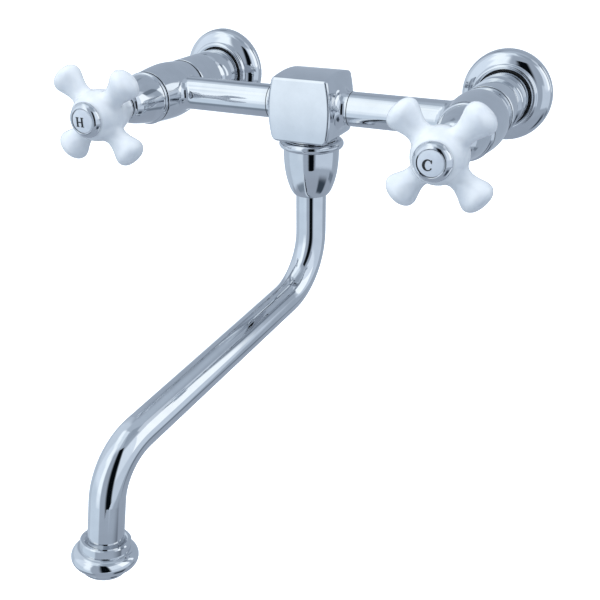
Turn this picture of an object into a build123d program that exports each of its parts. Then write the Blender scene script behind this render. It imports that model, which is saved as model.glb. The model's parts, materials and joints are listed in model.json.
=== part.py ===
from build123d import *
import math
import os

# Wall-mounted two-handle sink faucet with a swivel tube spout.
# Millimetres. X runs right along the wall, +Y runs into the wall, +Z is up.
# The origin is on the wall, midway between the two inlets. "Out" is the distance in front of the wall.

# ---- driving dimensions ----
INLET_CENTRES = 203.2
BRIDGE_OUT = 78.9
BRIDGE_R = 10.2
BRIDGE_BORE_R = 9.0
SPIGOT_R = 8.95
WATERWAY_R = 7.4
STUB_END_X = 26.0

FLANGE_R = 28.6
FLANGE_HEIGHT = 12.9
FLANGE_HOLE_R = 17.3
FLANGE_CREST = 9.6
FLANGE_EDGE_R = 3.5

COUPLING_R = 16.6
COUPLING_BACK = 1.5
COUPLING_FRONT = 34.0
INLET_R = 10.4
INLET_DEPTH = 16.0
COUPLING_MALE_R = 13.2
COUPLING_MALE_END = 46.0
GRIP_RING = (16.2, 1.1, 11.1)
GRIP_GROOVE = (16.2, 1.15, 11.1)

UNION_R = 16.65
UNION_BACK = 36.0
UNION_FRONT = 60.6
TAIL_R = 10.4
TAIL_FLANGE_R = 12.9

BODY_BACK = 61.2
BODY_FRONT = 103.4
BODY_FILLET = 5.5
CARTRIDGE_BORE_R = 10.2
CARTRIDGE_SEAT = 69.0
BONNET_THREAD_R = 12.4

BONNET_BACK = 103.6
BONNET_FRONT = 128.6
BONNET_RIM_R = 16.2
STEM_R = 4.0
STEM_HOLE_R = 4.05
SPLINE_R = 3.6

ARM_PLANE = 154.1
HANDLE_BACK = 131.3
HANDLE_FACE = 165.9
HUB_BORE_R = 6.05
ARM_ANGLES = (45, 135, 225, 315)
CAP_RING_R = 10.3
BUTTON_R = 6.8
BUTTON_FACE = 170.3
BUTTON_RISE = 0.5
ARM_FILLET = 3.0
HOT_CROSS_TURN = -0.5
COLD_CROSS_TURN = 1.8

BLOCK_HALF_TOP = 17.6
BLOCK_HALF_MID = 20.1
BLOCK_HALF_HEIGHT = 19.0
BLOCK_CENTRE_Z = -0.3
BLOCK_HALF_DEPTH = 19.6
BLOCK_EDGE_R = 1.7
BLOCK_TOP_CORNER_R = 2.4
BLOCK_LOW_CORNER_R = 4.2
BLOCK_CROWN = 2.2
BOSS_FILLET = 5.4
BOSS_END_X = 26.2
SPOUT_BORE_R = 11.2
MALE_R = 14.4
MALE_END_Z = -34.0

NUT_TOP_Z = -20.7
NUT_BOTTOM_Z = -55.6
NUT_BEAD_R = 20.0
NUT_BORE_R = 9.62
NUT_SEAT_Z = -39.4

SPOUT_R = 9.525
SPOUT_INNER_R = 8.4
SPOUT_TOP_Z = -18.2
SPOUT_CORNER_Z = -112.6
SPOUT_REACH = 196.3
SPOUT_DROP_ANGLE = 8.9
SPOUT_BEND_1 = 37.3
SPOUT_BEND_2 = 32.9
OUTLET_LEAN = 10.4
OUTLET_TUBE_END = 51.8
SPOUT_TURN = -8.23

HOT_X = -INLET_CENTRES / 2
COLD_X = INLET_CENTRES / 2


# ---- helpers ----
def turned(*edges):
    """Revolve a closed outline of (radius, -out) edges about the valve axis."""
    return revolve(make_face(list(edges)), axis=Axis.Y)


def turned_points(points):
    """Revolve a straight-sided outline given as (radius, out) pairs about the valve axis."""
    return turned(*Polyline(*flat(points), close=True).edges())


def flat(points):
    """Turn (radius, out) pairs into points of the drawing plane."""
    return [(r, -out) for r, out in points]


def ring(r_in, r_out, back, front):
    """Plain ring about the valve axis between two distances out."""
    return turned_points([(r_in, back), (r_out, back), (r_out, front), (r_in, front)])


def disc(r, back, front):
    """Plain cylinder about the valve axis between two distances out."""
    return turned_points([(0, back), (r, back), (r, front), (0, front)])


def o_ring(major, minor, out):
    """Round-section rubber ring about the valve axis."""
    return Pos(0, -out, 0) * Rot(90, 0, 0) * Torus(major, minor)


def standing(points):
    """Revolve a straight-sided outline of (radius, z) pairs about the spout axis."""
    face = make_face(Plane.XZ * Polyline(*points, close=True))
    return Pos(0, -BRIDGE_OUT, 0) * revolve(face, axis=Axis.Z)


def standing_edges(*edges):
    """Revolve an outline of (radius, z) edges about the spout axis."""
    face = make_face([Plane.XZ * edge for edge in edges])
    return Pos(0, -BRIDGE_OUT, 0) * revolve(face, axis=Axis.Z)


def bar_x(r, x_from, x_to):
    """Cylinder along the bridge axis."""
    length = abs(x_to - x_from)
    return Pos((x_from + x_to) / 2, -BRIDGE_OUT, 0) * Rot(0, 90, 0) * Cylinder(r, length)


def crown(r, rim_out, rise):
    """Arc of a shallow spherical dome from its rim to the valve axis."""
    sphere_r = (r * r + rise * rise) / (2 * rise)
    halfway = rim_out + rise - sphere_r + math.sqrt(sphere_r ** 2 - (r / 2) ** 2)
    return ThreePointArc(*flat([(r, rim_out), (r / 2, halfway), (0, rim_out + rise)]))


def sector_hole(r_in, r_out, spread, middle, back, front):
    """Wedge-shaped water port through a disc, centred on an angle about the valve axis."""
    reach = r_out * 2
    half = math.radians(spread / 2)
    tip = (reach * math.cos(half), reach * math.sin(half))
    wedge = make_face(Polyline((0, 0), tip, (tip[0], -tip[1]), close=True))
    wedge = extrude(Rot(0, 0, middle) * wedge, amount=front - back)
    wedge = Pos(0, -back, 0) * Rot(90, 0, 0) * wedge
    return wedge & ring(r_in, r_out, back, front)


# ---- wall flange ----
def wall_flange():
    """Thin pressed escutcheon: rolled edge, shallow valley and a bead round its hole."""
    r, hole, crest, edge = FLANGE_R, FLANGE_HOLE_R, FLANGE_CREST, FLANGE_EDGE_R
    diagonal = edge * math.sqrt(0.5)
    roll = ThreePointArc(*flat([
        (r, crest - edge), (r - edge + diagonal, crest - edge + diagonal), (r - edge, crest),
    ]))
    valley = Spline(
        *flat([(r - edge, crest), (23.2, 9.5), (21.3, 9.7), (20.0, 11.0)]),
        tangents=[(-1, 0), (-0.5, -1)])
    bead = ThreePointArc(*flat([(20.0, 11.0), (18.7, FLANGE_HEIGHT), (hole, 11.6)]))
    inner = Spline(*flat([(19.4, 10.3), (21.0, 8.6), (23.8, 8.4), (25.8, 7.5), (26.9, 5.0)]))
    return turned(
        Line(*flat([(27.3, 0), (r, 0)])),
        Line(*flat([(r, 0), (r, crest - edge)])),
        roll,
        valley,
        bead,
        Line(*flat([(hole, 11.6), (hole, 10.6)])),
        Line(*flat([(hole, 10.6), (19.4, 10.3)])),
        inner,
        Line(*flat([(26.9, 5.0), (27.3, 0)])),
    )


def flange_grip_ring():
    """Rubber ring in the coupling's groove that grips the flange from inside."""
    return o_ring(*GRIP_RING)


# ---- inlet coupling and union ----
def inlet_coupling():
    """Female inlet for the supply pipe, tapering softly to a male end for the union nut."""
    taper = Spline(*flat([(COUPLING_R, 22.0), (16.4, 27.0), (15.8, 31.0), (14.6, COUPLING_FRONT)]))
    outline = Polyline(*flat([
        (14.6, COUPLING_FRONT), (COUPLING_MALE_R, COUPLING_FRONT),
        (COUPLING_MALE_R, COUPLING_MALE_END), (WATERWAY_R, COUPLING_MALE_END),
        (WATERWAY_R, COUPLING_BACK + INLET_DEPTH), (INLET_R, COUPLING_BACK + INLET_DEPTH),
        (INLET_R, COUPLING_BACK + 0.8), (INLET_R + 0.8, COUPLING_BACK),
        (COUPLING_R, COUPLING_BACK), (COUPLING_R, 22.0),
    ]))
    return turned(taper, *outline.edges()) - o_ring(*GRIP_GROOVE)


def union_nut():
    """Smooth sleeve nut that draws the valve body's tail on to the coupling."""
    nut = turned_points([
        (COUPLING_MALE_R + 0.1, UNION_BACK), (UNION_R, UNION_BACK), (UNION_R, UNION_FRONT),
        (TAIL_R + 0.15, UNION_FRONT), (TAIL_R + 0.15, 55.05), (COUPLING_MALE_R + 0.1, 55.05),
    ])
    rims = nut.edges().filter_by(GeomType.CIRCLE).filter_by(lambda e: abs(e.radius - UNION_R) < 0.01)
    return fillet(rims, 1.3)


def union_washer():
    """Flat fibre washer squeezed in the union."""
    return ring(WATERWAY_R + 0.2, 12.7, COUPLING_MALE_END + 0.05, 49.35)


# ---- valve body ----
def valve_barrel():
    """Swelling barrel of the casting with its flanged tail."""
    side = Spline(*flat([
        (16.2, 62.0), (16.6, 66.0), (17.3, 73.0), (17.7, 80.5), (17.4, 88.0), (16.7, 96.0), (16.0, 102.4),
    ]))
    return turned(
        Line(*flat([(0, 49.4), (TAIL_FLANGE_R, 49.4)])),
        Line(*flat([(TAIL_FLANGE_R, 49.4), (TAIL_FLANGE_R, 54.9)])),
        Line(*flat([(TAIL_FLANGE_R, 54.9), (TAIL_R, 54.9)])),
        Line(*flat([(TAIL_R, 54.9), (TAIL_R, BODY_BACK)])),
        Line(*flat([(TAIL_R, BODY_BACK), (15.4, BODY_BACK)])),
        Line(*flat([(15.4, BODY_BACK), (16.2, 62.0)])),
        side,
        Line(*flat([(16.0, 102.4), (15.2, BODY_FRONT)])),
        Line(*flat([(15.2, BODY_FRONT), (0, BODY_FRONT)])),
        Line(*flat([(0, BODY_FRONT), (0, 49.4)])),
    )


def valve_body():
    """Brass casting: tail, barrel, side outlet towards +X, cartridge bore and water ways."""
    body = valve_barrel() + bar_x(BRIDGE_R, 0, STUB_END_X)
    seam = body.edges().filter_by(
        lambda e: e.geom_type != GeomType.CIRCLE and e.center().X > 8 and e.length > 30)
    body = fillet(seam, BODY_FILLET)
    body += bar_x(SPIGOT_R, STUB_END_X - 1, STUB_END_X + 8)
    body -= disc(6.0, 49.0, CARTRIDGE_SEAT + 1)
    body -= disc(CARTRIDGE_BORE_R, CARTRIDGE_SEAT, 96)
    body -= disc(BONNET_THREAD_R, 95, BODY_FRONT + 1)
    body -= ring(CARTRIDGE_BORE_R - 1, 12.3, 74, 88)
    body -= bar_x(WATERWAY_R, 6, STUB_END_X + 9)
    return body


# ---- ceramic disc cartridge ----
def cartridge_shell():
    """Brass shell with two side windows, a clamping flange and the stem bearing."""
    shell = turned_points([
        (8.2, 70.6), (10.1, 70.6), (10.1, 95.05), (12.2, 95.05), (12.2, 98.5), (8.0, 98.5), (8.0, 101.0),
        (STEM_HOLE_R, 101.0), (STEM_HOLE_R, 89.0), (8.2, 89.0),
    ])
    shell -= Pos(0, -84, 0) * Box(30, 8, 8)
    return shell - o_ring(9.48, 0.75, 92.0)


def seat_seal():
    """Rubber seal that presses the fixed disc up against the moving one."""
    return ring(5.4, 8.1, CARTRIDGE_SEAT + 0.05, 71.95)


def fixed_disc():
    """Ceramic disc with two water ports, held in the shell."""
    plate = disc(8.15, 72.0, 74.5)
    for middle in (0, 180):
        plate -= sector_hole(2.0, 6.4, 80, middle, 71, 75)
    return plate


def moving_disc():
    """Ceramic disc a quarter turn from open, notched for the stem's lugs."""
    plate = disc(8.05, 74.55, 77.0)
    for middle in (90, 270):
        plate -= sector_hole(2.0, 6.4, 80, middle, 74, 78)
    for middle in (0, 180):
        plate -= sector_hole(5.8, 9.0, 30, middle, 75.4, 78)
    return plate


def stem():
    """Brass stem: lugged carrier, bearing length with ring grooves, and a splined end."""
    shaft = turned_points([
        (0, 77.05), (8.05, 77.05), (8.05, 79.6), (5.0, 80.4), (5.0, 88.6), (STEM_R, 88.9),
        (STEM_R, 125.0), (SPLINE_R, 125.6), (SPLINE_R, 146.5), (0, 146.5),
    ])
    for middle in (90, 270):
        shaft -= sector_hole(2.0, 6.4, 78, middle, 76, 79.3)
        shaft -= sector_hole(5.0, 9.0, 78, middle, 76, 81)
    for middle in (0, 180):
        shaft += sector_hole(5.9, 8.0, 27, middle, 75.5, 77.5)
    for out in (91.3, 95.2):
        shaft -= ring(2.66, STEM_R + 1, out - 0.8, out + 0.8)
    return shaft - disc(1.9, 134.0, 147.0)


def stem_o_rings():
    """Pair of rubber rings in the stem's grooves."""
    return [o_ring(3.36, 0.66, out) for out in (91.3, 95.2)]


def bonnet():
    """Bell-shaped cap that screws into the body and clamps the cartridge."""
    rim = ThreePointArc(*flat([(15.3, BONNET_BACK), (BONNET_RIM_R, 105.0), (15.3, 106.4)]))
    bell = Spline(*flat([
        (14.9, 107.2), (14.5, 110.5), (13.0, 118.0), (11.4, 124.0), (9.7, 127.2), (7.6, BONNET_FRONT),
    ]))
    outline = Polyline(*flat([
        (7.6, BONNET_FRONT), (5.6, BONNET_FRONT), (5.6, 124.5), (10.3, 116.0), (10.3, 98.6), (12.3, 98.6),
        (12.3, BONNET_BACK), (15.3, BONNET_BACK),
    ]))
    return turned(rim, Line(*flat([(15.3, 106.4), (14.9, 107.2)])), bell, *outline.edges())


# ---- cross handle ----
def handle_hub():
    """Swelling porcelain hub."""
    side = Spline(*flat([
        (9.0, 132.2), (10.6, 137.0), (12.7, 143.0), (14.4, 149.0), (14.8, 153.5), (14.2, 158.5),
        (12.6, 163.0), (10.9, 165.4),
    ]))
    return turned(
        Line(*flat([(0, HANDLE_BACK), (8.2, HANDLE_BACK)])),
        Line(*flat([(8.2, HANDLE_BACK), (9.0, 132.2)])),
        side,
        Line(*flat([(10.9, 165.4), (10.3, HANDLE_FACE)])),
        Line(*flat([(10.3, HANDLE_FACE), (0, HANDLE_FACE)])),
        Line(*flat([(0, HANDLE_FACE), (0, HANDLE_BACK)])),
    )


def handle_arm():
    """One porcelain arm along +X: waisted near the hub, then flaring to a rounded paddle."""
    sections = [
        (5.0, 7.6, 7.2), (11.0, 7.0, 6.6), (15.4, 6.3, 6.0), (18.7, 6.5, 5.9), (21.6, 7.4, 6.5),
        (24.5, 8.6, 7.4), (26.9, 9.3, 8.0), (29.0, 9.2, 7.9), (30.7, 8.3, 7.1), (32.1, 6.7, 5.7),
        (33.0, 4.7, 4.0), (33.5, 2.2, 1.9),
    ]
    ovals = []
    for along, half_width, half_depth in sections:
        plane = Plane(origin=(along, -ARM_PLANE, 0), x_dir=(0, 0, 1), z_dir=(1, 0, 0))
        ovals.append(plane * Ellipse(half_width, half_depth))
    return loft(ovals)


def where_arms_meet(edge):
    """True for the creases where an arm runs into the hub or the next arm."""
    middle = edge @ 0.5
    return 11 < math.hypot(middle.X, middle.Z) < 19 and edge.length > 3


def handle_cross():
    """Glazed porcelain hub with its arms, bored for the metal insert."""
    cross = handle_hub()
    arm = handle_arm()
    for angle in ARM_ANGLES:
        cross += Rot(0, -angle, 0) * arm
    cross = fillet(cross.edges().filter_by(where_arms_meet), ARM_FILLET)
    return cross - disc(HUB_BORE_R, HANDLE_BACK - 1, HANDLE_FACE + 1)


def handle_insert():
    """Metal core of the handle: splined socket behind, screw seat in front."""
    return turned_points([
        (SPLINE_R + 0.05, 129.6), (7.4, 129.6), (7.9, 130.1), (7.9, 131.2), (6.0, 131.2), (6.0, 164.5),
        (4.95, 164.5), (4.95, 149.6), (2.2, 149.6), (2.2, 147.0), (SPLINE_R + 0.05, 147.0),
    ])


def handle_screw():
    """Slotted pan-head screw that holds the handle on the stem."""
    outline = Polyline(*flat([
        (0, 152.4), (0, 136.0), (1.85, 136.0), (1.85, 149.65), (3.7, 149.65), (3.7, 151.2),
    ]))
    screw = turned(crown(3.7, 151.2, 1.2), *outline.edges())
    return screw - Pos(0, -152.2, 0) * Box(8, 1.6, 0.9)


def cap_ring():
    """Convex ring screwed into the insert, its slope running up to the index button."""
    edge = ThreePointArc(*flat([(9.9, 165.95), (CAP_RING_R, 166.3), (10.1, 166.8)]))
    slope = Spline(*flat([(10.1, 166.8), (9.6, 168.0), (8.7, 169.1), (7.3, 169.9)]))
    outline = Polyline(*flat([
        (7.3, 169.9), (7.05, 169.8), (7.05, 167.3), (4.1, 167.3), (4.1, 156.0), (4.85, 156.0),
        (4.85, 165.95), (9.9, 165.95),
    ]))
    return turned(edge, slope, *outline.edges())


def index_button():
    """Slightly domed porcelain button set in the cap ring."""
    rim = BUTTON_FACE - BUTTON_RISE
    outline = Polyline(*flat([
        (0, BUTTON_FACE), (0, 167.35), (BUTTON_R, 167.35), (BUTTON_R, rim - 0.3), (6.5, rim),
    ]))
    return turned(crown(6.5, rim, BUTTON_RISE), *outline.edges())


# ---- bridge and mixing block ----
def bridge_tube():
    """Plain tube between the block's boss and a valve body's stub, on the +X side."""
    left, right = BOSS_END_X, COLD_X - STUB_END_X
    return bar_x(BRIDGE_R, left, right) - bar_x(BRIDGE_BORE_R, left - 1, right + 1)


def runs_back(edge):
    """True for an edge of the block that runs from its front to its back."""
    return abs((edge @ 1).Y - (edge @ 0).Y) > BLOCK_HALF_DEPTH


def cushion():
    """Block with bowed sides, a crowned top and softly rounded edges."""
    w, m, h, d = BLOCK_HALF_TOP, BLOCK_HALF_MID, BLOCK_HALF_HEIGHT, BLOCK_HALF_DEPTH
    tall = h + 5
    bow = (m - w) * (tall / h) ** 2
    front = make_face([
        Plane.XZ * Line((bow - m, tall), (m - bow, tall)),
        Plane.XZ * ThreePointArc((m - bow, tall), (m, 0), (m - bow, -tall)),
        Plane.XZ * Line((m - bow, -tall), (bow - m, -tall)),
        Plane.XZ * ThreePointArc((bow - m, -tall), (-m, 0), (bow - m, tall)),
    ])
    side = make_face([
        Plane.YZ * ThreePointArc((-d, h), (0, h + BLOCK_CROWN), (d, h)),
        Plane.YZ * Line((d, h), (d, -h)),
        Plane.YZ * Line((d, -h), (-d, -h)),
        Plane.YZ * ThreePointArc((-d, -h), (-d - 0.5, 0), (-d, h)),
    ])
    block = extrude(front, amount=d + 5, both=True) & extrude(side, amount=m + 5, both=True)
    for above, radius in ((True, BLOCK_TOP_CORNER_R), (False, BLOCK_LOW_CORNER_R)):
        corners = [edge for edge in block.edges() if runs_back(edge) and ((edge @ 0.5).Z > 0) == above]
        block = fillet(corners, radius)
    rims = [edge for edge in block.edges() if not runs_back(edge)]
    block = fillet(rims, BLOCK_EDGE_R)
    return Pos(0, -BRIDGE_OUT, BLOCK_CENTRE_Z) * block


def on_bridge_surface(edge):
    """True for an edge lying round the bridge's outside, short of the boss ends."""
    middle = edge @ 0.5
    off_axis = math.hypot(middle.Y + BRIDGE_OUT, middle.Z)
    return abs(off_axis - BRIDGE_R) < 0.05 and abs(middle.X) < BOSS_END_X - 1 and edge.length > 8


def mixing_block():
    """Block where hot and cold meet, with side bosses and a male thread for the spout nut."""
    block = cushion() + bar_x(BRIDGE_R, -BOSS_END_X, BOSS_END_X)
    seams = block.edges().filter_by(on_bridge_surface).filter_by(GeomType.LINE, reverse=True)
    block = fillet(seams, BOSS_FILLET)
    block += bar_x(SPIGOT_R, -BOSS_END_X - 8, BOSS_END_X + 8)
    block += standing([
        (0, -17), (15.5, -17), (15.5, -20.4), (MALE_R, -20.4), (MALE_R, MALE_END_Z), (0, MALE_END_Z),
    ])
    block -= bar_x(WATERWAY_R, -BOSS_END_X - 9, BOSS_END_X + 9)
    block -= standing([(0, 6), (4.0, 6), (WATERWAY_R, 2), (WATERWAY_R, -8), (SPOUT_BORE_R, -8),
                       (SPOUT_BORE_R, MALE_END_Z - 1), (0, MALE_END_Z - 1)])
    return block


# ---- spout joint ----
def spout_nut():
    """Smooth bell nut with a beaded rim, tightened by hand on its rubber rings."""
    r, top = NUT_BEAD_R, NUT_TOP_Z
    bead = ThreePointArc((17.6, top), (r, -23.3), (17.6, -26.0))
    bell = Spline((17.3, -26.2), (17.15, -32), (16.65, -38.5), (15.5, -45), (14.0, -50), (12.4, -53.6),
                  (10.9, NUT_BOTTOM_Z))
    inside = Polyline((10.9, NUT_BOTTOM_Z), (NUT_BORE_R, NUT_BOTTOM_Z), (NUT_BORE_R, NUT_SEAT_Z),
                      (MALE_R + 0.1, NUT_SEAT_Z), (MALE_R + 0.1, -21.4), (15.7, top), (17.6, top))
    return standing_edges(bead, Line((17.6, -26.0), (17.3, -26.2)), bell, *inside.edges())


def spout_tail():
    """Brass end brazed on the spout tube: collar held by the nut, two ring grooves."""
    tail = standing([
        (SPOUT_INNER_R, -10.5), (10.6, -10.5), (11.1, -11.0), (11.1, -35.2), (13.8, -35.2), (13.8, -38.2),
        (SPOUT_R + 0.05, -38.2), (SPOUT_R + 0.05, -18.0), (SPOUT_INNER_R, -18.0),
    ])
    for z in (-13.3, -16.6):
        tail -= standing([(9.75, z - 1.0), (12, z - 1.0), (12, z + 1.0), (9.75, z + 1.0)])
    return tail


def spout_o_rings():
    """Two rubber rings sealing the spout in the block."""
    return [Pos(0, -BRIDGE_OUT, z) * Torus(10.46, 0.69) for z in (-13.3, -16.6)]


def glide_rings():
    """Low-friction washers above and below the spout's collar."""
    return [
        standing([(11.3, -35.1), (14.2, -35.1), (14.2, -34.1), (11.3, -34.1)]),
        standing([(SPOUT_R + 0.2, -39.3), (14.2, -39.3), (14.2, -38.3), (SPOUT_R + 0.2, -38.3)]),
    ]


# ---- spout ----
def outlet_frame():
    """Plane at the lower corner of the spout's centre line, its normal pointing down the outlet."""
    dip = math.radians(SPOUT_DROP_ANGLE)
    lean = math.radians(OUTLET_LEAN)
    y = -BRIDGE_OUT - SPOUT_REACH * math.cos(dip)
    z = SPOUT_CORNER_Z - SPOUT_REACH * math.sin(dip)
    return Plane(origin=(0, y, z), x_dir=(1, 0, 0), z_dir=(0, -math.sin(lean), -math.cos(lean)))


def spout_path():
    """Centre line: straight drop, bend, long gently falling reach, bend, short outlet."""
    corner = outlet_frame()
    end = corner.origin + corner.z_dir * OUTLET_TUBE_END
    points = [(0, -BRIDGE_OUT, SPOUT_TOP_Z), (0, -BRIDGE_OUT, SPOUT_CORNER_Z), corner.origin, end]
    return FilletPolyline(*points, radius=(SPOUT_BEND_1, SPOUT_BEND_2))


def spout_tube():
    """Bent tube of constant section."""
    path = spout_path()
    start = Plane(origin=path @ 0, z_dir=path % 0)
    section = start * (Circle(SPOUT_R) - Circle(SPOUT_INNER_R))
    return sweep(section, path=path)


def along_outlet(solid):
    """Place a solid turned about Z on the outlet, its z as distance past the corner."""
    return outlet_frame().location * solid


def outlet_turned(*edges):
    """Revolve an outline of (radius, distance past the corner) edges about the outlet."""
    return along_outlet(revolve(make_face([Plane.XZ * edge for edge in edges]), axis=Axis.Z))


def outlet_collar():
    """Stepped collar with a fat bead, brazed on the tube's end and threaded inside."""
    bead = ThreePointArc((13.0, 50.3), (17.4, 54.9), (12.6, 59.9))
    outline = Polyline(
        (12.6, 59.9), (11.0, 59.9), (11.0, 53.0), (SPOUT_INNER_R, 53.0), (SPOUT_INNER_R, 51.9),
        (SPOUT_R + 0.05, 51.9), (SPOUT_R + 0.05, 46.6), (11.3, 45.4), (12.6, 45.4), (13.2, 46.0),
        (13.2, 50.0), (13.0, 50.3))
    return outlet_turned(bead, *outline.edges())


def aerator_shell():
    """Nozzle screwed up into the collar."""
    nose = Spline((12.2, 60.1), (12.1, 61.6), (11.6, 63.0), (10.9, 63.7))
    outline = Polyline((10.9, 63.7), (8.2, 63.7), (8.2, 61.6), (9.0, 61.6), (9.0, 54.3), (10.9, 54.3),
                       (10.9, 60.1), (12.2, 60.1))
    return outlet_turned(nose, *outline.edges())


def aerator_washer():
    """Flat rubber washer above the nozzle."""
    outline = Polyline((8.5, 53.05), (10.8, 53.05), (10.8, 54.25), (8.5, 54.25), close=True)
    return outlet_turned(*outline.edges())


def aerator_screen():
    """Thin dished strainer."""
    outline = Polyline((0, 54.5), (8.2, 55.0), (8.9, 55.0), (8.9, 55.4), (8.1, 55.4), (0, 54.9), close=True)
    return outlet_turned(*outline.edges())


def aerator_insert():
    """Plastic flow straightener with a ring of water holes."""
    core = Pos(0, 0, 58.55) * Cylinder(8.9, 5.9)
    for count, radius in ((1, 0), (6, 3.1), (10, 6.2)):
        for step in range(count):
            angle = math.radians(360 * step / count)
            core -= Pos(radius * math.cos(angle), radius * math.sin(angle), 58.55) * Cylinder(1.1, 8)
    return along_outlet(core)


# ---- assembly ----
def turned_to_rest(solid):
    """Turn a spout piece about the spout axis to where the spout is left at rest."""
    pivot = Pos(0, -BRIDGE_OUT, 0)
    return pivot * Rot(0, 0, SPOUT_TURN) * pivot.inverse() * solid


def mirrored(shape):
    """Mirror a shape across the middle plane of the faucet."""
    return mirror(shape, about=Plane.YZ)


def save(name, shape):
    """Write one node, grouping several solids when there are any."""
    solids = []
    for item in shape if isinstance(shape, list) else [shape]:
        solids += item.solids()
    node = solids[0] if len(solids) == 1 else Compound(children=solids)
    node.label = name
    export_step(node, "parts/" + name + ".step")


VALVE_PIECES = {
    "wall_flange": wall_flange,
    "flange_grip_ring": flange_grip_ring,
    "inlet_coupling": inlet_coupling,
    "union_nut": union_nut,
    "union_washer": union_washer,
    "cartridge_shell": cartridge_shell,
    "seat_seal": seat_seal,
    "fixed_disc": fixed_disc,
    "moving_disc": moving_disc,
    "stem": stem,
    "stem_o_rings": stem_o_rings,
    "bonnet": bonnet,
    "handle_insert": handle_insert,
    "handle_screw": handle_screw,
    "cap_ring": cap_ring,
    "index_button": index_button,
}

SPOUT_PIECES = {
    "spout_tail": spout_tail,
    "spout_o_rings": spout_o_rings,
    "spout_tube": spout_tube,
    "outlet_collar": outlet_collar,
    "aerator_shell": aerator_shell,
    "aerator_washer": aerator_washer,
    "aerator_screen": aerator_screen,
    "aerator_insert": aerator_insert,
}


def main():
    os.makedirs("parts", exist_ok=True)
    for name, make in VALVE_PIECES.items():
        made = make()
        pieces = made if isinstance(made, list) else [made]
        for side, x in (("hot", HOT_X), ("cold", COLD_X)):
            save(side + "_" + name, [Pos(x, 0, 0) * piece for piece in pieces])
    cross = handle_cross()
    for side, x, turn in (("hot", HOT_X, HOT_CROSS_TURN), ("cold", COLD_X, COLD_CROSS_TURN)):
        save(side + "_handle_cross", Pos(x, 0, 0) * Rot(0, -turn, 0) * cross)
    shell_ring = o_ring(9.48, 0.7, 92.0)
    for side, x in (("hot", HOT_X), ("cold", COLD_X)):
        save(side + "_shell_o_ring", Pos(x, 0, 0) * shell_ring)
    body = mirrored(valve_body())
    save("cold_valve_body", Pos(COLD_X, 0, 0) * body)
    save("hot_valve_body", Pos(HOT_X, 0, 0) * Rot(0, 180, 0) * body)
    tube = bridge_tube()
    save("cold_bridge_tube", tube)
    save("hot_bridge_tube", mirrored(tube))
    save("mixing_block", mixing_block())
    save("spout_nut", spout_nut())
    save("spout_glide_rings", glide_rings())
    for name, make in SPOUT_PIECES.items():
        made = make()
        pieces = made if isinstance(made, list) else [made]
        save(name, [turned_to_rest(piece) for piece in pieces])


main()
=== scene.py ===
import bpy
import json
import math
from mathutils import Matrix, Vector


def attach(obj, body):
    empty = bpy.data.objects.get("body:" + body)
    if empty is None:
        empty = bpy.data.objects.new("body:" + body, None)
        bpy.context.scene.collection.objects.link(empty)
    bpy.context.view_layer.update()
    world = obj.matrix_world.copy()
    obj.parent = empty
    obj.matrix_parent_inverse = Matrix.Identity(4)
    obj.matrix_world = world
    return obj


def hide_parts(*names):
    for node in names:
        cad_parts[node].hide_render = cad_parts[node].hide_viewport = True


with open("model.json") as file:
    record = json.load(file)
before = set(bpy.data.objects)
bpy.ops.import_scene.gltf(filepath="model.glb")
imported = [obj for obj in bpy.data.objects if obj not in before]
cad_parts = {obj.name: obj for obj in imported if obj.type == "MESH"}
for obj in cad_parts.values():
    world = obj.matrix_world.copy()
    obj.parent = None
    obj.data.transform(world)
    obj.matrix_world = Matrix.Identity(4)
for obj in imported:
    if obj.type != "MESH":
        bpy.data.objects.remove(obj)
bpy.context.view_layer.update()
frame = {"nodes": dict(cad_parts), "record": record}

# Wall-mounted faucet with two porcelain cross handles and a swivelling tube spout.
# Everything is in metres in the part's frame: X right, +Y into the wall, +Z up.
MM = 0.001

# ---- sizes shared with the solids, in mm ----
VALVE_X = {"hot": -101.6, "cold": 101.6}
BRIDGE_OUT = 78.9
BRIDGE_R = 10.2
BLOCK_JOINT_X = 26.2
UNION_SEAM = 60.9
UNION_SEAM_R = 16.2
BONNET_SEAM = 103.5
BONNET_SEAM_R = 16.1
BUTTON_FACE = 170.3

# ---- seams: a dark line of painted shade that sits in a joint and stands hardly proud of it, in mm ----
SEAM_WIDTH = 0.5
SEAM_DEPTH = 0.3
SEAM_PROUD = 0.08

# ---- threads, in mm: from and to, measured from the wall, and how far turns rise from bore or barrel ----
INLET_R = 10.4
INLET_THREAD = (1.9, 13.5)
INLET_THREAD_RISE = -0.8
UNION_R = 13.2
UNION_THREAD = (34.0, 36.0)
UNION_THREAD_RISE = 0.6
THREAD_PITCH = 1.8
THREAD_SUNK = 0.05
# One turn, as how far along its pitch in mm and what share of the rise.
THREAD_TURN = ((0.1, 0), (0.75, 1), (1.05, 1), (1.7, 0))

# ---- flange in section, in mm and degrees ----
# A centre or point is a radius and a distance from the wall. The roll ends at an angle round its centre,
# and the dome and the cove end where they reach that slope.
FLANGE_R = 28.6
FLANGE_WALL = 1.2
ROLL_CENTRE, ROLL_SIZE, ROLL_END = (24.2, 1.6), (4.4, 7.0), 70
DOME_R, DOME_END = 17.0, 17
COVE_R, COVE_END = 1.5, 60
BEAD_CENTRE, BEAD_R = (19.0, 11.45), 1.7
FLANGE_BACK = [(17.3, 10.5), (19.4, 10.8), (20.1, 9.5), (21.7, 8.6)]

# ---- how finely the pieces are drawn: steps round a curve, then degrees, mm, mm and passes ----
RING_STEPS = 72
THREAD_STEPS = 64
FLANGE_STEPS = 144
ROLL_STEPS = 14
DOME_STEPS = 10
COVE_STEPS = 6
BEAD_STEPS = 14
BACK_STEPS = 8
SMOOTH_UNDER = 40
MERGE_WITHIN = 0.01
GLAZE_VOXEL = 0.6
GLAZE_PASSES = 12

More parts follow.
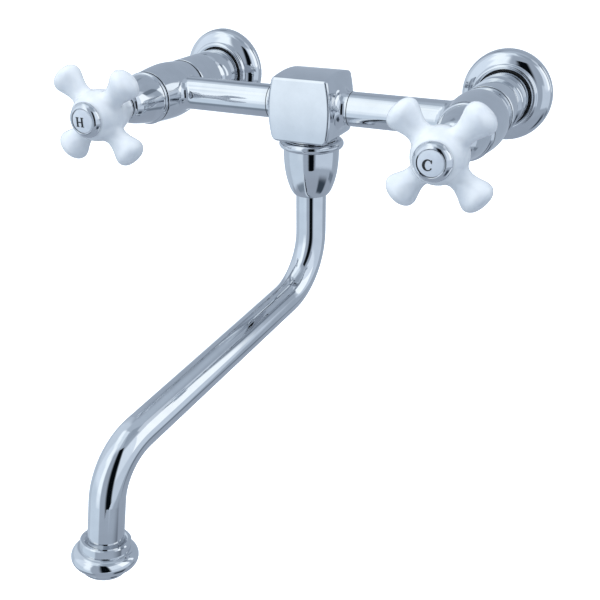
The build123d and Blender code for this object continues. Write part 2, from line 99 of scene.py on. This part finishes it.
# ---- letters, in mm: strokes of the H and the C, and the place of each on its button ----
LETTER_SHIFT = {"hot": (-1.37, -0.58), "cold": (-1.36, -0.83)}
LETTER_START = BUTTON_FACE + 1
LETTER_RISE = 0.06
BAR_CUTS = 5
STEM_X, STEM_SIZE = 1.6, (1.25, 5.2)
SERIF_SIZE, SERIF_Z = (2.1, 0.45), 2.55
BAR_SIZE = (2.2, 0.6)
C_HALF = (2.75, 2.95)
C_INNER = (0.58, 0.8)
C_SHIFT = 0.32
C_MOUTH = 33
C_SERIF_PLACE, C_SERIF_SIZE = (1.95, 1.8), (0.5, 1.8)

# ---- camera: place in metres, yaw to the left and pitch down in degrees ----
CAMERA_PLACE = (0.21311, -0.57048, 0.12138)
CAMERA_YAW = 24.19
CAMERA_PITCH = 25.20
LENS_MM = 53.1
SENSOR_MM = 36

# ---- studio, in metres. The card fades to clear over this share of its width on each side ----
FLOOR_CENTRE = (0, 2.0, -0.62)
FLOOR_SIZE = 9.0
FLOOR_GLOW = 0.72
ROOM_STRENGTH = 1.38
CARD_BEHIND_CAMERA = 0.03
CARD_WIDTH = 0.34
CARD_LOW = -0.32
CARD_HIGH = 0.52
CARD_FADE = 0.28
LIGHTS_AIM = (0, -0.1, 0)
# Name, place, size in metres and power in watts.
SOFT_LIGHTS = [("key", (-0.5, -0.9, 1.7), 1.0, 14), ("top_fill", (0.3, 0.5, 1.8), 1.5, 5)]

# Soft patches of the studio that the polished metal mirrors, each laid over the ones before it: where it
# starts and ends in azimuth, from the wall towards the right, and in elevation, in degrees, then how wide
# its soft edge is, and its colour. The base is a mid blue-grey; the patches run from near white to slate.
ROOM_BASE = "#949fad"
ROOM_PATCHES = [
    ("ceiling", -181, 181, 60, 100, 12, "#a3afbd"),
    ("ceiling_left", -190, -84, 60, 94, 16, "#ccd8e3"),
    ("ceiling_right", 60, 142, 58, 84, 12, "#8c98a6"),
    ("floor", -181, 181, -100, -33, 10, "#8f99a7"),
    ("left_wall", -169, -92, -42, 8, 8, "#bccad8"),
    ("left_wall_far", -100, -54, -36, 8, 8, "#abb8c6"),
    ("left_softbox", -168, -98, 2, 66, 15, "#d0dce9"),
    ("left_softbox_far", -104, -56, 2, 66, 15, "#bcc8d5"),
    ("left_softbox_edge", -168, -146, -3, 48, 9, "#ebf5fc"),
    ("left_softbox_corner", -157, -131, 35, 63, 11, "#eef7fc"),
    ("left_softbox_top", -137, -79, 53, 70, 10, "#e9f3fa"),
    ("left_light_on_wall", -166, -146, -15, 0, 15, "#dde8f2"),
    ("right_wall", 56, 138, -24, 8, 4, "#b8c4d2"),
    ("right_softbox", 60, 128, 3, 47, 9, "#cfdae6"),
    ("right_softbox_edge", 60, 88, 3, 42, 3, "#f1f8fd"),
    ("right_softbox_top", 50, 80, 44, 60, 5, "#bcc6d2"),
    ("strip_light", 37, 46, -4, 30, 3, "#e6eff7"),
    ("low_window", -44, -24, -30, -2, 8, "#d5dee8"),
    ("shade_behind", -46, -30, 38, 52, 5, "#7c8794"),
    ("shade_beside_strip", 46, 59, 28, 42, 4, "#6c7784"),
    ("dark_corner", 76, 120, -60, -35, 13, "#343e49"),
    ("dark_floor", -172, -118, -55, -43, 8, "#75818e"),
    ("dark_skirting", 36, 66, -34, -26, 4, "#6c7784"),
]


def linear(hex_colour):
    """Scene-linear colour of an sRGB hex value."""
    channels = [int(hex_colour[i:i + 2], 16) / 255 for i in (1, 3, 5)]
    return [c / 12.92 if c <= 0.04045 else ((c + 0.055) / 1.055) ** 2.4 for c in channels] + [1.0]


def per_mm(size_mm):
    """Pattern scale that gives features of this real size in millimetres."""
    return 1 / (size_mm * MM)


def add_node(tree, kind, settings=(), links=()):
    """Add a shader node, set its values by attribute or socket name, and link its inputs."""
    node = tree.nodes.new(kind)
    for name, value in dict(settings).items():
        if isinstance(name, int) or name in node.inputs:
            node.inputs[name].default_value = value
        else:
            setattr(node, name, value)
    for name, source in dict(links).items():
        tree.links.new(source, node.inputs[name])
    return node


def new_material(name):
    """Empty node material, with its node tree and output node."""
    material = bpy.data.materials.new(name)
    material.use_nodes = True
    material.node_tree.nodes.clear()
    output = add_node(material.node_tree, "ShaderNodeOutputMaterial")
    return material, material.node_tree, output


def two_tones(ramp, dark, light, start=0.35, end=0.65):
    """Set a colour ramp to run between two close tones."""
    first, last = ramp.color_ramp.elements
    first.position, last.position = start, end
    first.color, last.color = linear(dark), linear(light)


def polished_chrome(name, wave_mm, wave_depth_mm):
    """Chrome plate over buffed brass: a bright mirror, faintly wavy from the wheel, with wiping haze."""
    material, tree, output = new_material(name)
    place = add_node(tree, "ShaderNodeTexCoord").outputs["Object"]
    # The polishing wheel's waves bend reflections a little, so that the metal looks worked and not drawn.
    waves = add_node(tree, "ShaderNodeTexNoise", {"Scale": per_mm(wave_mm), "Detail": 1.0}, {"Vector": place})
    wavy = add_node(tree, "ShaderNodeBump", {"Distance": wave_depth_mm * MM},
                    {"Height": waves.outputs["Fac"]})
    # Buffing marks are finer than a pixel, so they are drawn 0.4 mm apart and very shallow.
    grain = add_node(tree, "ShaderNodeTexNoise", {"Scale": per_mm(0.4), "Detail": 3.0}, {"Vector": place})
    fine = add_node(tree, "ShaderNodeBump", {"Distance": 0.0003 * MM},
                    {"Height": grain.outputs["Fac"], "Normal": wavy.outputs["Normal"]})
    # Wiping leaves patches about 11 mm across, where reflections are a touch softer and greyer.
    wiped = add_node(tree, "ShaderNodeTexNoise", {"Scale": per_mm(11), "Detail": 3.0}, {"Vector": place})
    haze = add_node(tree, "ShaderNodeMapRange",
                    {"From Min": 0.3, "From Max": 0.7, "To Min": 0.02, "To Max": 0.055},
                    {"Value": wiped.outputs["Fac"]})
    tone = add_node(tree, "ShaderNodeValToRGB", links={"Fac": wiped.outputs["Fac"]})
    # Two near greys, which mirror about seven tenths of the room's light, as chrome does.
    two_tones(tone, "#d9dbde", "#dfe1e4")
    plate = add_node(tree, "ShaderNodeBsdfPrincipled", {"Metallic": 1.0},
                     {"Base Color": tone.outputs["Color"], "Roughness": haze.outputs["Result"],
                      "Normal": fine.outputs["Normal"]})
    tree.links.new(plate.outputs["BSDF"], output.inputs["Surface"])
    return material


def glazed_porcelain(name, dark, light):
    """Fired white body under clear glaze: soft milky shade, sharp small highlights, slight ripple."""
    material, tree, output = new_material(name)
    place = add_node(tree, "ShaderNodeTexCoord").outputs["Object"]
    # Clouds 7 mm across vary the white and the gloss so little that they only keep it from looking flat.
    cloud = add_node(tree, "ShaderNodeTexNoise", {"Scale": per_mm(7), "Detail": 3.0}, {"Vector": place})
    body = add_node(tree, "ShaderNodeValToRGB", links={"Fac": cloud.outputs["Fac"]})
    two_tones(body, dark, light)
    # Glaze runs in ripples 4 mm across, which wobble the edges of highlights.
    run = add_node(tree, "ShaderNodeTexNoise", {"Scale": per_mm(4), "Detail": 1.0}, {"Vector": place})
    ripple = add_node(tree, "ShaderNodeBump", {"Distance": 0.015 * MM}, {"Height": run.outputs["Fac"]})
    gloss = add_node(tree, "ShaderNodeMapRange", {"To Min": 0.04, "To Max": 0.14},
                     {"Value": cloud.outputs["Fac"]})
    glaze = add_node(tree, "ShaderNodeBsdfPrincipled",
                     {"IOR": 1.5, "Coat Weight": 0.5, "Coat Roughness": 0.02, "Coat IOR": 1.52,
                      "Subsurface Weight": 0.12, "Subsurface Radius": (1.0, 1.0, 1.0),
                      "Subsurface Scale": 1.2 * MM},
                     {"Base Color": body.outputs["Color"], "Roughness": gloss.outputs["Result"],
                      "Normal": ripple.outputs["Normal"]})
    tree.links.new(glaze.outputs["BSDF"], output.inputs["Surface"])
    return material


def turned_metal(name, dark, light, roughness, feed_mm):
    """Metal turned in a lathe: rings of fine feed marks that spread the highlight sideways."""
    material, tree, output = new_material(name)
    place = add_node(tree, "ShaderNodeTexCoord").outputs["Object"]
    # Bands repeat every 2 pi / 20 of the scale's unit, so these marks are 2 pi feeds apart, enough to show.
    marks = add_node(tree, "ShaderNodeTexWave",
                     {"bands_direction": "Y", "Scale": per_mm(feed_mm * 20), "Distortion": 0.3},
                     {"Vector": place})
    grooves = add_node(tree, "ShaderNodeBump", {"Distance": 0.003 * MM}, {"Height": marks.outputs["Fac"]})
    # Tarnish in patches 5 mm across, duller where it is darker.
    stain = add_node(tree, "ShaderNodeTexNoise", {"Scale": per_mm(5), "Detail": 4.0}, {"Vector": place})
    tone = add_node(tree, "ShaderNodeValToRGB", links={"Fac": stain.outputs["Fac"]})
    two_tones(tone, dark, light)
    dull = add_node(tree, "ShaderNodeMapRange", {"To Min": roughness - 0.08, "To Max": roughness + 0.12},
                    {"Value": stain.outputs["Fac"]})
    metal = add_node(tree, "ShaderNodeBsdfPrincipled", {"Metallic": 1.0},
                     {"Base Color": tone.outputs["Color"], "Roughness": dull.outputs["Result"],
                      "Normal": grooves.outputs["Normal"]})
    tree.links.new(metal.outputs["BSDF"], output.inputs["Surface"])
    return material


def moulded_body(name, dark, light, roughness, grain_mm, depth_mm, ior):
    """Moulded, pressed or fired body: an even fine grain in tone, gloss and relief."""
    material, tree, output = new_material(name)
    place = add_node(tree, "ShaderNodeTexCoord").outputs["Object"]
    grain = add_node(tree, "ShaderNodeTexNoise", {"Scale": per_mm(grain_mm), "Detail": 3.0},
                     {"Vector": place})
    tone = add_node(tree, "ShaderNodeValToRGB", links={"Fac": grain.outputs["Fac"]})
    two_tones(tone, dark, light)
    relief = add_node(tree, "ShaderNodeBump", {"Distance": depth_mm * MM}, {"Height": grain.outputs["Fac"]})
    dull = add_node(tree, "ShaderNodeMapRange", {"To Min": roughness - 0.08, "To Max": roughness + 0.08},
                    {"Value": grain.outputs["Fac"]})
    body = add_node(tree, "ShaderNodeBsdfPrincipled", {"IOR": ior},
                    {"Base Color": tone.outputs["Color"], "Roughness": dull.outputs["Result"],
                     "Normal": relief.outputs["Normal"]})
    tree.links.new(body.outputs["BSDF"], output.inputs["Surface"])
    return material


# How far apart the wheel's waves are and how deep, in mm. Cast pieces are the waviest, tube the least.
TURNED_CHROME = polished_chrome("polished_chrome_on_turned_brass", 14, 0.004)
CAST_CHROME = polished_chrome("polished_chrome_on_cast_brass", 9, 0.009)
TUBE_CHROME = polished_chrome("polished_chrome_on_drawn_tube", 20, 0.003)
# Colours from dark to light: cool white porcelain, and a greyer copy of it for the buttons, whose grey is
# painted shade.
PORCELAIN = glazed_porcelain("white_glazed_porcelain", "#eceff3", "#f6f8fa")
SHADED_BUTTON_PORCELAIN = glazed_porcelain("button_porcelain_with_painted_shade", "#dce1e8", "#e6ebf1")
# Roughness and feed in mm. The seam shade is a dark grey line of painted shade, brass golden and steel a
# neutral light grey.
SEAM_SHADE = turned_metal("painted_seam_shade", "#2c2e32", "#43474c", 0.4, 0.12)
BRASS = turned_metal("turned_brass", "#b08a45", "#d0aa62", 0.3, 0.12)
STEEL = turned_metal("turned_stainless_steel", "#a5a8ab", "#c0c2c5", 0.32, 0.12)
# Roughness, grain and depth in mm, and refractive index. Enamel is near black and rubber a soft charcoal,
# fibre brick red, alumina ivory and acetal milky white.
LETTER_ENAMEL = moulded_body("black_letter_enamel", "#08090a", "#141517", 0.3, 0.4, 0.002, 1.5)
RUBBER = moulded_body("black_nitrile_rubber", "#0c0c0d", "#1b1b1d", 0.55, 0.5, 0.012, 1.52)
FIBRE = moulded_body("pressed_red_fibre", "#57201a", "#7c3526", 0.8, 0.4, 0.03, 1.5)
CERAMIC = moulded_body("lapped_alumina", "#e4e0d3", "#f1eee4", 0.22, 0.8, 0.002, 1.76)
ACETAL = moulded_body("natural_acetal", "#dcdfdf", "#eef0f0", 0.42, 0.7, 0.004, 1.48)
BY_SLOT = {
    "polished_chrome": TURNED_CHROME, "white_porcelain": PORCELAIN, "machined_brass": BRASS,
    "black_rubber": RUBBER, "fibre_washer": FIBRE, "alumina_ceramic": CERAMIC, "stainless_steel": STEEL,
    "acetal_plastic": ACETAL,
}
BY_NODE = {
    "mixing_block": CAST_CHROME, "hot_valve_body": CAST_CHROME, "cold_valve_body": CAST_CHROME,
    "spout_tube": TUBE_CHROME, "hot_bridge_tube": TUBE_CHROME, "cold_bridge_tube": TUBE_CHROME,
    # The buttons take the greyer copy of the porcelain, with painted shade in its colour.
    "hot_index_button": SHADED_BUTTON_PORCELAIN, "cold_index_button": SHADED_BUTTON_PORCELAIN,
}
SLOT_OF = {part["node"]: part["material_slot"] for part in frame["record"]["subparts"]}


def dress_cad_nodes():
    """Give every solid of the frame its finish."""
    for name, node in frame["nodes"].items():
        node.data.materials.clear()
        node.data.materials.append(BY_NODE.get(name, BY_SLOT[SLOT_OF[name]]))


# ---- modelling ----
def deselect():
    """Leave nothing selected."""
    bpy.ops.object.select_all(action="DESELECT")


def edit(piece):
    """Open a piece for editing with nothing selected in it."""
    deselect()
    bpy.context.view_layer.objects.active = piece
    piece.select_set(True)
    bpy.ops.object.mode_set(mode="EDIT")
    bpy.ops.mesh.select_all(action="DESELECT")


def apply(piece, kind, **settings):
    """Add a modifier with its settings and apply it."""
    modifier = piece.modifiers.new(kind.lower(), kind)
    for name, value in settings.items():
        setattr(modifier, name, value)
    bpy.context.view_layer.objects.active = piece
    bpy.ops.object.modifier_apply(modifier=modifier.name)


def finished(piece, name, body, material):
    """Name a piece, give it its finish and let it ride on its body."""
    piece.name = name
    piece.data.name = name
    piece.data.materials.clear()
    piece.data.materials.append(material)
    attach(piece, body)
    return piece


def turned_ring(outline, centre, axis, steps):
    """Draw an outline of (radius, along) points in mm from one corner, then spin it round an axis."""
    along = Vector(axis).normalized()
    across = along.orthogonal().normalized()
    centre = Vector(centre) * MM
    corners = [centre + (across * radius + along * reach) * MM for radius, reach in outline]
    deselect()
    bpy.ops.mesh.primitive_plane_add(size=MM, location=corners[0])
    piece = bpy.context.object
    bpy.ops.object.transform_apply(location=True)
    bpy.ops.object.mode_set(mode="EDIT")
    bpy.ops.mesh.select_mode(type="VERT")
    bpy.ops.mesh.select_all(action="SELECT")
    bpy.ops.mesh.merge(type="CENTER")
    for here, there in zip(corners, corners[1:] + corners[:1]):
        bpy.ops.mesh.extrude_region_move(TRANSFORM_OT_translate={"value": there - here})
    bpy.ops.mesh.select_all(action="SELECT")
    bpy.ops.mesh.spin(steps=steps, angle=2 * math.pi, center=centre, axis=along)
    bpy.ops.mesh.select_all(action="SELECT")
    bpy.ops.mesh.remove_doubles(threshold=MERGE_WITHIN * MM)
    bpy.ops.mesh.normals_make_consistent(inside=False)
    bpy.ops.object.mode_set(mode="OBJECT")
    bpy.ops.object.shade_smooth_by_angle(angle=math.radians(SMOOTH_UNDER))
    return piece


def glazed_cross(side):
    """Porcelain cross whose creases are drowned in glaze, from a merged copy of the solid."""
    source = frame["nodes"][side + "_handle_cross"]
    piece = bpy.data.objects.new("cross", source.data.copy())
    bpy.context.scene.collection.objects.link(piece)
    edit(piece)
    bpy.ops.mesh.select_all(action="SELECT")
    bpy.ops.mesh.remove_doubles(threshold=MERGE_WITHIN * MM)
    bpy.ops.object.mode_set(mode="OBJECT")
    apply(piece, "REMESH", mode="VOXEL", voxel_size=GLAZE_VOXEL * MM)
    apply(piece, "SMOOTH", factor=0.5, iterations=GLAZE_PASSES)
    bpy.ops.object.shade_smooth()
    finished(piece, side + "_glazed_cross", side + "_handle", PORCELAIN)
    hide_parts(side + "_handle_cross")


def arc(centre, size, start, end, steps):
    """Points along an elliptical arc between two angles in degrees."""
    angles = [math.radians(start + (end - start) * step / steps) for step in range(steps + 1)]
    return [(centre[0] + size[0] * math.cos(angle), centre[1] + size[1] * math.sin(angle))
            for angle in angles]


def flange_section():
    """Rim and tight roll, a shallow dome, a small cove up to the bead round the hole, and the hollow back."""
    roll = arc(ROLL_CENTRE, ROLL_SIZE, 0, ROLL_END, ROLL_STEPS)
    (before_x, before_y), (foot_x, foot_y) = roll[-2:]
    slope = math.degrees(math.atan2(foot_y - before_y, before_x - foot_x))
    lean = math.radians(slope)
    dome = arc((foot_x - DOME_R * math.sin(lean), foot_y - DOME_R * math.cos(lean)), (DOME_R, DOME_R),
               90 - slope, 90 - DOME_END, DOME_STEPS)
    foot_x, foot_y = dome[-1]
    lean = math.radians(DOME_END)
    cove = arc((foot_x + COVE_R * math.sin(lean), foot_y + COVE_R * math.cos(lean)), (COVE_R, COVE_R),
               270 - DOME_END, 270 - COVE_END, COVE_STEPS)
    bead = arc(BEAD_CENTRE, (BEAD_R, BEAD_R), 90 - COVE_END, 180, BEAD_STEPS)
    inner_size = [size - FLANGE_WALL for size in ROLL_SIZE]
    inner_roll = arc(ROLL_CENTRE, inner_size, ROLL_END, 0, BACK_STEPS)
    return ([(FLANGE_R, 0)] + roll + dome[1:] + cove[1:] + bead + FLANGE_BACK + inner_roll
            + [(FLANGE_R - FLANGE_WALL, 0)])


def pressed_flange(side):
    """Escutcheon pressed from sheet, domed inside its rolled rim and beaded round the hole."""
    piece = turned_ring(flange_section(), (VALVE_X[side], 0, 0), (0, -1, 0), FLANGE_STEPS)
    finished(piece, side + "_pressed_flange", "fixed_frame", TURNED_CHROME)
    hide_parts(side + "_wall_flange")


def seam_shade_ring(name, centre, axis, radius):
    """Thin dark ring of painted shade in the joint between two pieces, where the gap lies in shadow."""
    edge = SEAM_WIDTH / 2
    outline = [(radius - SEAM_DEPTH, -edge), (radius, -edge), (radius + SEAM_PROUD, 0), (radius, edge),
               (radius - SEAM_DEPTH, edge)]
    piece = turned_ring(outline, centre, axis, RING_STEPS)
    finished(piece, name, "fixed_frame", SEAM_SHADE)


def screw_thread(name, side, reach, radius, rise, slot):
    """Turns of a pipe thread over a reach along the inlet, standing up from a bore or a barrel."""
    start, end = reach
    turns = int((end - start) / THREAD_PITCH)
    root = radius - math.copysign(THREAD_SUNK, rise)
    outline = [(root, start)]
    for turn in range(turns):
        foot = start + turn * THREAD_PITCH
        outline += [(radius + rise * share, foot + along) for along, share in THREAD_TURN]
    outline.append((root, start + turns * THREAD_PITCH))
    piece = turned_ring(outline, (VALVE_X[side], 0, 0), (0, -1, 0), THREAD_STEPS)
    finished(piece, name, "fixed_frame", BY_SLOT[slot])


def letter_bar(centre, size):
    """Bar of a letter, cut fine enough to follow the button's dome."""
    deselect()
    place = (centre[0] * MM, -LETTER_START * MM, centre[1] * MM)
    bpy.ops.mesh.primitive_plane_add(size=1, location=place, rotation=(math.radians(90), 0, 0))
    bar = bpy.context.object
    bar.scale = (size[0] * MM, size[1] * MM, 1)
    bpy.ops.object.transform_apply(location=True, rotation=True, scale=True)
    edit(bar)
    bpy.ops.mesh.select_all(action="SELECT")
    bpy.ops.mesh.subdivide(number_cuts=BAR_CUTS)
    bpy.ops.object.mode_set(mode="OBJECT")
    return bar


def inlaid_letter(pieces, side):
    """Join a letter's strokes, lay them on the button's dome and give them a thickness."""
    deselect()
    for piece in pieces:
        piece.select_set(True)
    letter = pieces[0]
    bpy.context.view_layer.objects.active = letter
    if len(pieces) > 1:
        bpy.ops.object.join()
    button = frame["nodes"][side + "_index_button"]
    apply(letter, "SHRINKWRAP", wrap_method="PROJECT", target=button, use_project_y=True,
          use_project_x=False, use_project_z=False, use_positive_direction=True, use_negative_direction=True)
    edit(letter)
    bpy.ops.mesh.select_all(action="SELECT")
    bpy.ops.mesh.extrude_region_move(TRANSFORM_OT_translate={"value": (0, -LETTER_RISE * MM, 0)})
    bpy.ops.mesh.select_all(action="SELECT")
    bpy.ops.mesh.normals_make_consistent(inside=False)
    bpy.ops.object.mode_set(mode="OBJECT")
    finished(letter, side + "_letter", side + "_handle", LETTER_ENAMEL)


def letter_h():
    """Roman H: two stout stems with slab serifs and a thin bar."""
    x, z = LETTER_SHIFT["hot"]
    x += VALVE_X["hot"]
    bars = [letter_bar((x, z), BAR_SIZE)]
    for side in (-1, 1):
        bars.append(letter_bar((x + side * STEM_X, z), STEM_SIZE))
        for end in (-1, 1):
            bars.append(letter_bar((x + side * STEM_X, z + end * SERIF_Z), SERIF_SIZE))
    inlaid_letter(bars, "hot")


def letter_c():
    """Roman C: a ring that swells on the left and opens on the right, with an upper serif."""
    x, z = LETTER_SHIFT["cold"]
    x += VALVE_X["cold"]
    place = Vector((x * MM, -LETTER_START * MM, z * MM))
    deselect()
    bpy.ops.mesh.primitive_circle_add(vertices=RING_STEPS, radius=MM, location=place,
                                      rotation=(math.radians(90), 0, 0))
    ring = bpy.context.object
    bpy.ops.object.transform_apply(location=True, rotation=True, scale=True)
    bpy.ops.object.mode_set(mode="EDIT")
    bpy.ops.mesh.select_all(action="SELECT")
    bpy.ops.transform.resize(value=(C_HALF[0], 1, C_HALF[1]), center_override=place)
    bpy.ops.mesh.extrude_edges_move()
    bpy.ops.transform.resize(value=(C_INNER[0], 1, C_INNER[1]), center_override=place)
    bpy.ops.transform.translate(value=(C_SHIFT * MM, 0, 0))
    bpy.ops.mesh.select_all(action="DESELECT")
    bpy.ops.object.mode_set(mode="OBJECT")
    for face in ring.data.polygons:
        offset = face.center - place
        face.select = offset.x > 0 and abs(math.atan2(offset.z, offset.x)) < math.radians(C_MOUTH)
    bpy.ops.object.mode_set(mode="EDIT")
    bpy.ops.mesh.select_mode(type="FACE")
    bpy.ops.mesh.delete(type="FACE")
    bpy.ops.object.mode_set(mode="OBJECT")
    serif = letter_bar((x + C_SERIF_PLACE[0], z + C_SERIF_PLACE[1]), C_SERIF_SIZE)
    inlaid_letter([ring, serif], "cold")


# ---- studio ----
def make_camera():
    """Camera at the photograph's place."""
    data = bpy.data.cameras.new("camera")
    data.lens = LENS_MM
    data.sensor_width = SENSOR_MM
    camera = bpy.data.objects.new("camera", data)
    bpy.context.scene.collection.objects.link(camera)
    camera.location = CAMERA_PLACE
    camera.rotation_euler = (math.radians(90 - CAMERA_PITCH), 0, math.radians(CAMERA_YAW))
    bpy.context.scene.camera = camera


def stage_plane(name, place, size, facing, material):
    """Flat card of the studio, turned to face a point."""
    deselect()
    turn = (Vector(facing) - Vector(place)).to_track_quat("Z", "Y").to_euler()
    bpy.ops.mesh.primitive_plane_add(size=1, location=place, rotation=turn)
    card = bpy.context.object
    card.name = name
    card.scale = (size[0], size[1], 1)
    bpy.ops.object.transform_apply(location=True, rotation=True, scale=True)
    card.data.materials.append(material)
    return card


def make_floor():
    """Pale lit paper far below, seen by the camera but kept out of the mirror finish."""
    paper, tree, output = new_material("pale_lit_paper")
    place = add_node(tree, "ShaderNodeTexCoord").outputs["Object"]
    pulp = add_node(tree, "ShaderNodeTexNoise", {"Scale": per_mm(30), "Detail": 2.0}, {"Vector": place})
    tone = add_node(tree, "ShaderNodeValToRGB", links={"Fac": pulp.outputs["Fac"]})
    two_tones(tone, "#fbfcfd", "#ffffff")
    sheet = add_node(tree, "ShaderNodeBsdfPrincipled", {"Roughness": 0.9, "Emission Strength": FLOOR_GLOW},
                     {"Base Color": tone.outputs["Color"], "Emission Color": tone.outputs["Color"]})
    tree.links.new(sheet.outputs["BSDF"], output.inputs["Surface"])
    floor = stage_plane("floor", FLOOR_CENTRE, (FLOOR_SIZE, FLOOR_SIZE), (*FLOOR_CENTRE[:2], 0), paper)
    floor.visible_glossy = False
    floor.visible_diffuse = False


def make_black_card():
    """The dark camera side of the studio, which draws the black stripes in polished chrome."""
    material, tree, output = new_material("black_card")
    place = add_node(tree, "ShaderNodeTexCoord").outputs["UV"]
    split = add_node(tree, "ShaderNodeSeparateXYZ", links={"Vector": place})
    from_middle = add_node(tree, "ShaderNodeMath", {"operation": "SUBTRACT", 1: 0.5},
                           {0: split.outputs["X"]})
    sideways = add_node(tree, "ShaderNodeMath", {"operation": "ABSOLUTE"}, {0: from_middle.outputs[0]})
    fade = add_node(tree, "ShaderNodeMapRange",
                    {"interpolation_type": "SMOOTHSTEP", "From Min": 0.5 - CARD_FADE, "From Max": 0.5},
                    {"Value": sideways.outputs[0]})
    black = add_node(tree, "ShaderNodeEmission", {"Color": linear("#060b10")})
    clear = add_node(tree, "ShaderNodeBsdfTransparent")
    both = add_node(tree, "ShaderNodeMixShader", links={0: fade.outputs["Result"], 1: black.outputs[0],
                                                        2: clear.outputs[0]})
    tree.links.new(both.outputs[0], output.inputs["Surface"])
    yaw = math.radians(CAMERA_YAW)
    behind = Vector(CAMERA_PLACE) + Vector((math.sin(yaw), -math.cos(yaw), 0)) * CARD_BEHIND_CAMERA
    place = (behind.x, behind.y, (CARD_LOW + CARD_HIGH) / 2)
    size = (CARD_WIDTH, CARD_HIGH - CARD_LOW)
    card = stage_plane("black_card", place, size, (0, 0, place[2]), material)
    card.visible_camera = False
    card.visible_diffuse = False
    card.visible_shadow = False
    card.visible_transmission = False


def room_patch(tree, direction, elevation, under, patch):
    """Lay one soft-edged patch over the room's colour."""
    name, left, right, low, high, soft, colour = patch
    middle, half = (left + right) / 2, (right - left) / 2
    turned = add_node(tree, "ShaderNodeVectorRotate",
                      {"rotation_type": "Z_AXIS", "Angle": math.radians(middle)}, {"Vector": direction})
    split = add_node(tree, "ShaderNodeSeparateXYZ", links={"Vector": turned.outputs[0]})
    bearing = add_node(tree, "ShaderNodeMath", {"operation": "ARCTAN2"},
                       {0: split.outputs["X"], 1: split.outputs["Y"]})
    degrees = add_node(tree, "ShaderNodeMath", {"operation": "DEGREES"}, {0: bearing.outputs[0]})
    amount = None
    edges = ((degrees.outputs[0], -half, 0, 1), (degrees.outputs[0], half, 1, 0),
             (elevation, low, 0, 1), (elevation, high, 1, 0))
    for value, edge, to_min, to_max in edges:
        step = add_node(tree, "ShaderNodeMapRange",
                        {"interpolation_type": "SMOOTHSTEP", "From Min": edge - soft / 2,
                         "From Max": edge + soft / 2, "To Min": to_min, "To Max": to_max}, {"Value": value})
        if amount is None:
            amount = step.outputs["Result"]
        else:
            both = add_node(tree, "ShaderNodeMath", {"operation": "MULTIPLY"},
                            {0: amount, 1: step.outputs["Result"]})
            amount = both.outputs[0]
    mixed = add_node(tree, "ShaderNodeMix", {"data_type": "RGBA", 6: linear(ROOM_BASE), 7: linear(colour)},
                     {0: amount})
    mixed.label = name
    if under is not None:
        tree.links.new(under, mixed.inputs[6])
    return mixed.outputs[2]


def make_world():
    """White to the camera; to the metal a grey studio with softboxes left and right."""
    world = bpy.data.worlds.new("studio")
    bpy.context.scene.world = world
    world.use_nodes = True
    tree = world.node_tree
    tree.nodes.clear()
    output = add_node(tree, "ShaderNodeOutputWorld")
    direction = add_node(tree, "ShaderNodeTexCoord").outputs["Generated"]
    split = add_node(tree, "ShaderNodeSeparateXYZ", links={"Vector": direction})
    height = add_node(tree, "ShaderNodeMath", {"operation": "ARCSINE"}, {0: split.outputs["Z"]})
    elevation = add_node(tree, "ShaderNodeMath", {"operation": "DEGREES"}, {0: height.outputs[0]})
    colour = None
    for patch in ROOM_PATCHES:
        colour = room_patch(tree, direction, elevation.outputs[0], colour, patch)
    studio = add_node(tree, "ShaderNodeBackground", {"Strength": ROOM_STRENGTH}, {"Color": colour})
    paper = add_node(tree, "ShaderNodeBackground", {"Color": (1, 1, 1, 1), "Strength": 1.0})
    seen = add_node(tree, "ShaderNodeLightPath")
    both = add_node(tree, "ShaderNodeMixShader",
                    links={0: seen.outputs["Is Camera Ray"], 1: studio.outputs[0], 2: paper.outputs[0]})
    tree.links.new(both.outputs[0], output.inputs["Surface"])


def soft_light(name, place, size, power):
    """Square soft light, kept out of the mirror finish, where the room's patches stand for it."""
    data = bpy.data.lights.new(name, "AREA")
    data.size = size
    data.energy = power
    lamp = bpy.data.objects.new(name, data)
    bpy.context.scene.collection.objects.link(lamp)
    lamp.location = place
    lamp.rotation_euler = (Vector(LIGHTS_AIM) - Vector(place)).to_track_quat("-Z", "Y").to_euler()
    lamp.visible_glossy = False


dress_cad_nodes()
for side, sign in (("hot", -1), ("cold", 1)):
    glazed_cross(side)
    pressed_flange(side)
    # Dark rings of painted shade in the seams at the block, the unions and the bonnets.
    seam_shade_ring(side + "_block_seam_shade", (sign * BLOCK_JOINT_X, -BRIDGE_OUT, 0), (1, 0, 0), BRIDGE_R)
    seam_shade_ring(side + "_union_seam_shade", (VALVE_X[side], -UNION_SEAM, 0), (0, -1, 0), UNION_SEAM_R)
    seam_shade_ring(side + "_bonnet_seam_shade", (VALVE_X[side], -BONNET_SEAM, 0), (0, -1, 0), BONNET_SEAM_R)
    screw_thread(side + "_inlet_thread", side, INLET_THREAD, INLET_R, INLET_THREAD_RISE, "machined_brass")
    screw_thread(side + "_union_thread", side, UNION_THREAD, UNION_R, UNION_THREAD_RISE, "polished_chrome")
letter_h()
letter_c()
make_camera()
make_floor()
make_black_card()
make_world()
for light in SOFT_LIGHTS:
    soft_light(*light)
bpy.context.scene.view_settings.view_transform = "Standard"
